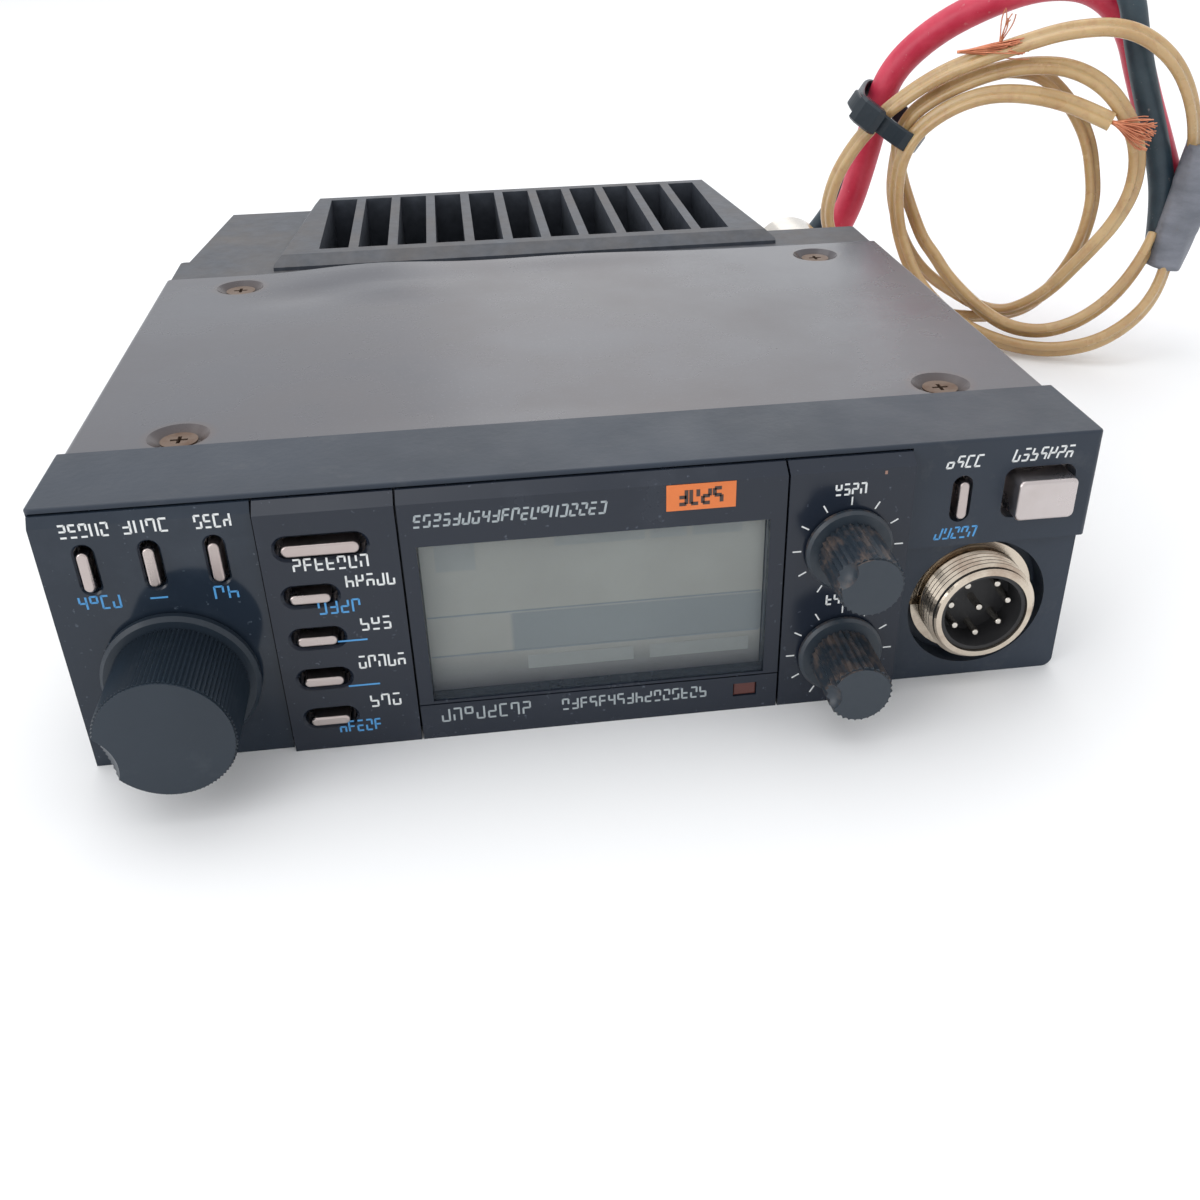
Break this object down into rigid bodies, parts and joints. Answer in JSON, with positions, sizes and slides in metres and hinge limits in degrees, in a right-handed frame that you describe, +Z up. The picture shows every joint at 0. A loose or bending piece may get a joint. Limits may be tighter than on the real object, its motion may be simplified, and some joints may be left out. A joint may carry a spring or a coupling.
{
  "type": "mobile radio transceiver",
  "caption": "Low steel-cased mobile transceiver: glossy control front with dial, keys, display and round microphone socket, finned rear casting, taped supply lead with a tied coil of twin wire.",
  "frame": {"origin": "on the surface the radio stands on, under the middle of the radio's own length and width (its dial and casting included, its leads and coil left out)", "axes": "+X to the operator's right across the front, +Y from the front towards the finned rear, +Z up"},
  "size_m": [0.2326, 0.1985, 0.0889],
  "materials": {
    "housing_plastic": "fine texture",
    "panel_gloss": "glossy",
    "clear_plate": "glossy",
    "lcd_glass": "satin",
    "diffuser": "satin",
    "black_plastic": "satin",
    "label": "printed",
    "lens": "clear",
    "key_metal": "satin",
    "plated": "polished",
    "steel": "plain",
    "brass": "plain",
    "cover_paint": "fine wrinkle",
    "casting_paint": "cast",
    "board_green": "lacquered",
    "can_tin": "tinned",
    "paper_cone": "paper",
    "ferrite": "ferrite",
    "socket_cream": "satin",
    "rubber_black": "soft",
    "red_sleeve": "soft",
    "black_sleeve": "soft",
    "clear_twin": "translucent over copper",
    "grey_tape": "cloth tape",
    "black_tie": "nylon"
  },
  "bodies": {
    "case": {"housing_upper": "housing_plastic", "housing_lower": "housing_plastic", "left_panel": "panel_gloss", "key_panel": "panel_gloss", "display_surround": "clear_plate", "name_strip": "panel_gloss", "control_panel": "panel_gloss", "orange_label": "label", "lamp_lens": "lens", "display_lens": "clear_plate", "display_glass": "lcd_glass", "display_frame": "black_plastic", "front_board": "board_green", "key_switches": "black_plastic", "socket_shell": "plated", "socket_insert": "black_plastic", "socket_pins": "plated", "socket_nut": "steel", "dial_encoder": "steel", "volume_control": "steel", "squelch_control": "steel", "chassis": "steel", "heatsink": "casting_paint", "top_cover": "cover_paint", "bottom_cover": "cover_paint", "top_screws": "steel", "bottom_screws": "steel", "housing_screws": "steel", "casting_screws": "steel", "main_board": "board_green", "power_module": "can_tin", "shield_can": "can_tin", "capacitors": "black_plastic", "speaker_frame": "steel", "speaker_cone": "paper_cone", "speaker_magnet": "ferrite", "antenna_shell": "plated", "antenna_core": "socket_cream", "lead_gland": "rubber_black", "supply_lead_red": "red_sleeve", "supply_lead_black": "black_sleeve", "joint_tape": "grey_tape", "wire_coil": "clear_twin", "cable_tie": "black_tie"},
    "memory_key_body": {"memory_key": "key_metal"},
    "call_key_body": {"call_key": "key_metal"},
    "megahertz_key_body": {"megahertz_key": "key_metal"},
    "function_key_body": {"function_key": "key_metal"},
    "voice_key_body": {"voice_key": "key_metal"},
    "repeater_key_body": {"repeater_key": "key_metal"},
    "tone_key_body": {"tone_key": "key_metal"},
    "reverse_key_body": {"reverse_key": "key_metal"},
    "low_power_key_body": {"low_power_key": "key_metal"},
    "power_button_body": {"power_button": "key_metal"},
    "dial_body": {"main_dial": "black_plastic", "dial_shaft": "steel"},
    "volume_body": {"volume_knob": "black_plastic", "volume_shaft": "steel"},
    "squelch_body": {"squelch_knob": "black_plastic", "squelch_shaft": "steel"}
  },
  "joints": [
    {"name": "memory_key_slide", "type": "slide", "parent": "case", "child": "memory_key_body", "axis": [0, 1, 0], "range_m": [0, 0.0006], "stiffness_N_per_m": 400, "springref_m": -0.0005},
    {"name": "call_key_slide", "type": "slide", "parent": "case", "child": "call_key_body", "axis": [0, 1, 0], "range_m": [0, 0.0006], "stiffness_N_per_m": 400, "springref_m": -0.0005},
    {"name": "megahertz_key_slide", "type": "slide", "parent": "case", "child": "megahertz_key_body", "axis": [0, 1, 0], "range_m": [0, 0.0006], "stiffness_N_per_m": 400, "springref_m": -0.0005},
    {"name": "function_key_slide", "type": "slide", "parent": "case", "child": "function_key_body", "axis": [0, 1, 0], "range_m": [0, 0.0006], "stiffness_N_per_m": 400, "springref_m": -0.0005},
    {"name": "voice_key_slide", "type": "slide", "parent": "case", "child": "voice_key_body", "axis": [0, 1, 0], "range_m": [0, 0.0006], "stiffness_N_per_m": 400, "springref_m": -0.0005},
    {"name": "repeater_key_slide", "type": "slide", "parent": "case", "child": "repeater_key_body", "axis": [0, 1, 0], "range_m": [0, 0.0006], "stiffness_N_per_m": 400, "springref_m": -0.0005},
    {"name": "tone_key_slide", "type": "slide", "parent": "case", "child": "tone_key_body", "axis": [0, 1, 0], "range_m": [0, 0.0006], "stiffness_N_per_m": 400, "springref_m": -0.0005},
    {"name": "reverse_key_slide", "type": "slide", "parent": "case", "child": "reverse_key_body", "axis": [0, 1, 0], "range_m": [0, 0.0006], "stiffness_N_per_m": 400, "springref_m": -0.0005},
    {"name": "low_power_key_slide", "type": "slide", "parent": "case", "child": "low_power_key_body", "axis": [0, 1, 0], "range_m": [0, 0.0006], "stiffness_N_per_m": 400, "springref_m": -0.0005},
    {"name": "power_button_slide", "type": "slide", "parent": "case", "child": "power_button_body", "axis": [0, 1, 0], "range_m": [0, 0.0025], "stiffness_N_per_m": 200, "springref_m": -0.001},
    {"name": "dial_turn", "type": "hinge", "parent": "case", "child": "dial_body", "pos_m": [-0.0554, -0.0763, 0.0136], "axis": [0, 1, 0], "continuous": true},
    {"name": "volume_turn", "type": "hinge", "parent": "case", "child": "volume_body", "pos_m": [0.0347, -0.0763, 0.0254], "axis": [0, 1, 0], "range_deg": [-89, 211]},
    {"name": "squelch_turn", "type": "hinge", "parent": "case", "child": "squelch_body", "pos_m": [0.0347, -0.0763, 0.0085], "axis": [0, 1, 0], "range_deg": [-59, 241]}
  ]
}
